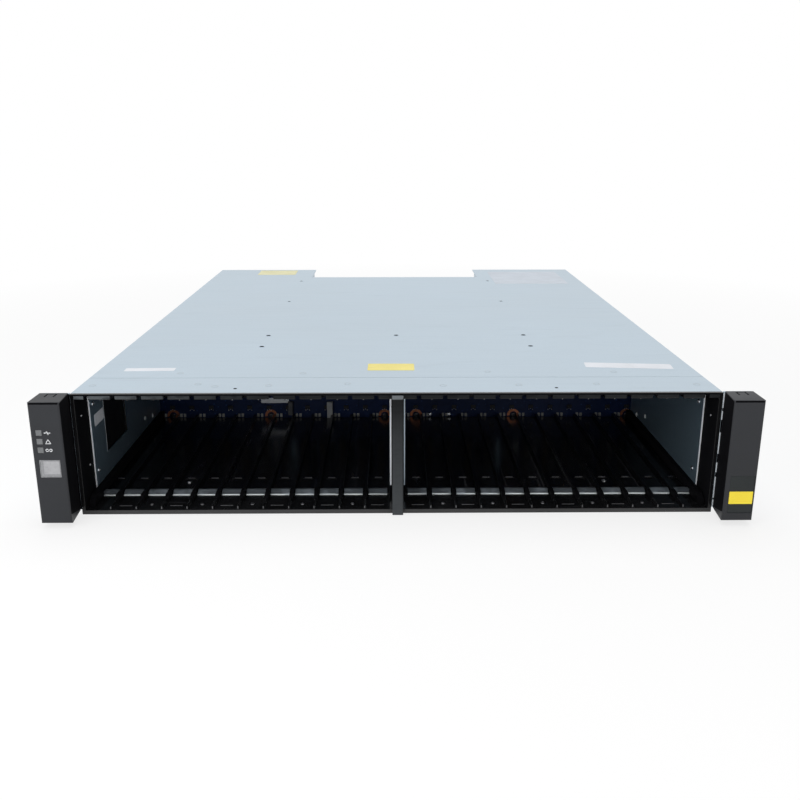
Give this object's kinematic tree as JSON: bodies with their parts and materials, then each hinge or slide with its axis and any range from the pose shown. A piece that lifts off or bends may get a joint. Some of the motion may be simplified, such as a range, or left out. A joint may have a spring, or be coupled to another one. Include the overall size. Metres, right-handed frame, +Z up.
{
  "type": "disk enclosure",
  "caption": "Flat rack disk enclosure with open upright drive bays in front, rack ears with plastic caps, and plug-in power supplies and input/output modules at the back.",
  "frame": {"origin": "under the middle of the part's bounding box, on the surface that it rests on", "axes": "+X to the right seen from the front, +Y towards the back, +Z up"},
  "size_m": [0.4826, 0.6, 0.0889],
  "materials": {
    "plated_steel": "zinc plated, satin",
    "frame_black": "black powder coat",
    "guide_black": "moulded, semi-gloss",
    "spring_steel": "bright",
    "cap_grey": "moulded, fine texture",
    "board_blue": "solder mask",
    "board_green": "solder mask",
    "screw_steel": "bright",
    "socket_black": "moulded",
    "light_grey": "clear to grey",
    "display_glass": "smooth",
    "module_steel": "zinc plated, satin",
    "fan_black": "moulded",
    "port_steel": "nickel plated",
    "lever_plastic": "moulded"
  },
  "bodies": {
    "chassis": {"chassis_tray": "plated_steel", "top_cover": "plated_steel", "cover_rivets": "plated_steel", "front_top_strip": "plated_steel", "front_frame": "frame_black", "divider_channel": "plated_steel", "divider_cap": "cap_grey", "midplane_board": "board_blue", "midplane_carrier": "plated_steel", "board_screws": "screw_steel", "drive_sockets": "socket_black", "module_sockets": "socket_black", "module_shelf": "plated_steel", "side_plate_left": "plated_steel", "side_plate_right": "plated_steel", "lower_guide_left": "guide_black", "lower_guide_right": "guide_black", "upper_guide_left": "guide_black", "upper_guide_right": "guide_black", "earth_strip_left": "spring_steel", "earth_strip_right": "spring_steel", "psu_wall_left": "plated_steel", "psu_wall_right": "plated_steel", "rack_flange_left": "plated_steel", "rack_flange_right": "plated_steel"},
    "left_ear": {"ear_cap_left": "cap_grey", "status_lights": "light_grey", "display_window": "display_glass", "indicator_board": "board_green"},
    "right_ear": {"ear_cap_right": "cap_grey"},
    "psu_left": {"psu_left_case": "module_steel", "psu_left_face": "module_steel", "psu_left_fan_frame": "fan_black", "psu_left_inlet": "socket_black"},
    "psu_left_fan": {"psu_left_fan_rotor": "fan_black"},
    "psu_left_switch": {"psu_left_rocker": "socket_black"},
    "psu_left_latch": {"psu_left_lever": "lever_plastic"},
    "psu_right": {"psu_right_case": "module_steel", "psu_right_face": "module_steel", "psu_right_fan_frame": "fan_black", "psu_right_inlet": "socket_black"},
    "psu_right_fan": {"psu_right_fan_rotor": "fan_black"},
    "psu_right_switch": {"psu_right_rocker": "socket_black"},
    "psu_right_latch": {"psu_right_lever": "lever_plastic"},
    "io_lower": {"io_lower_case": "module_steel", "io_lower_face": "module_steel", "io_lower_board": "board_green", "io_lower_ports": "port_steel"},
    "io_lower_latch_left": {"io_lower_lever_left": "lever_plastic"},
    "io_lower_latch_right": {"io_lower_lever_right": "lever_plastic"},
    "io_upper": {"io_upper_case": "module_steel", "io_upper_face": "module_steel", "io_upper_board": "board_green", "io_upper_ports": "port_steel"},
    "io_upper_latch_left": {"io_upper_lever_left": "lever_plastic"},
    "io_upper_latch_right": {"io_upper_lever_right": "lever_plastic"}
  },
  "joints": [
    {"name": "left_ear_pull", "type": "slide", "parent": "chassis", "child": "left_ear", "axis": [0, -1, 0], "range_m": [0, 0.03]},
    {"name": "psu_left_draw", "type": "slide", "parent": "chassis", "child": "psu_left", "axis": [0, 1, 0], "range_m": [0, 0.33]},
    {"name": "psu_left_fan_spin", "type": "hinge", "parent": "psu_left", "child": "psu_left_fan", "pos_m": [-0.1887, 0.2689, 0.0541], "axis": [0, 1, 0], "continuous": true},
    {"name": "psu_left_switch_tip", "type": "hinge", "parent": "psu_left", "child": "psu_left_switch", "pos_m": [-0.1208, 0.29, 0.0563], "axis": [-1, 0, 0], "range_deg": [0, 16]},
    {"name": "psu_left_lever_swing", "type": "hinge", "parent": "psu_left", "child": "psu_left_latch", "pos_m": [-0.2117, 0.296, 0.0068], "axis": [0, 0, 1], "range_deg": [0, 70]},
    {"name": "right_ear_pull", "type": "slide", "parent": "chassis", "child": "right_ear", "axis": [0, -1, 0], "range_m": [0, 0.03]},
    {"name": "psu_right_draw", "type": "slide", "parent": "chassis", "child": "psu_right", "axis": [0, 1, 0], "range_m": [0, 0.33]},
    {"name": "psu_right_fan_spin", "type": "hinge", "parent": "psu_right", "child": "psu_right_fan", "pos_m": [0.1338, 0.2689, 0.0541], "axis": [0, 1, 0], "continuous": true},
    {"name": "psu_right_switch_tip", "type": "hinge", "parent": "psu_right", "child": "psu_right_switch", "pos_m": [0.2017, 0.29, 0.0563], "axis": [-1, 0, 0], "range_deg": [0, 16]},
    {"name": "psu_right_lever_swing", "type": "hinge", "parent": "psu_right", "child": "psu_right_latch", "pos_m": [0.1108, 0.296, 0.0068], "axis": [0, 0, 1], "range_deg": [0, 70]},
    {"name": "io_lower_draw", "type": "slide", "parent": "chassis", "child": "io_lower", "axis": [0, 1, 0], "range_m": [0, 0.28]},
    {"name": "io_lower_lever_left_swing", "type": "hinge", "parent": "io_lower", "child": "io_lower_latch_left", "pos_m": [-0.0924, 0.237, 0.02895], "axis": [0, 0, 1], "range_deg": [0, 70]},
    {"name": "io_lower_lever_right_swing", "type": "hinge", "parent": "io_lower", "child": "io_lower_latch_right", "pos_m": [0.0924, 0.237, 0.02895], "axis": [0, 0, -1], "range_deg": [0, 70]},
    {"name": "io_upper_draw", "type": "slide", "parent": "chassis", "child": "io_upper", "axis": [0, 1, 0], "range_m": [0, 0.28]},
    {"name": "io_upper_lever_left_swing", "type": "hinge", "parent": "io_upper", "child": "io_upper_latch_left", "pos_m": [-0.0924, 0.237, 0.0723], "axis": [0, 0, 1], "range_deg": [0, 70]},
    {"name": "io_upper_lever_right_swing", "type": "hinge", "parent": "io_upper", "child": "io_upper_latch_right", "pos_m": [0.0924, 0.237, 0.0723], "axis": [0, 0, -1], "range_deg": [0, 70]}
  ]
}
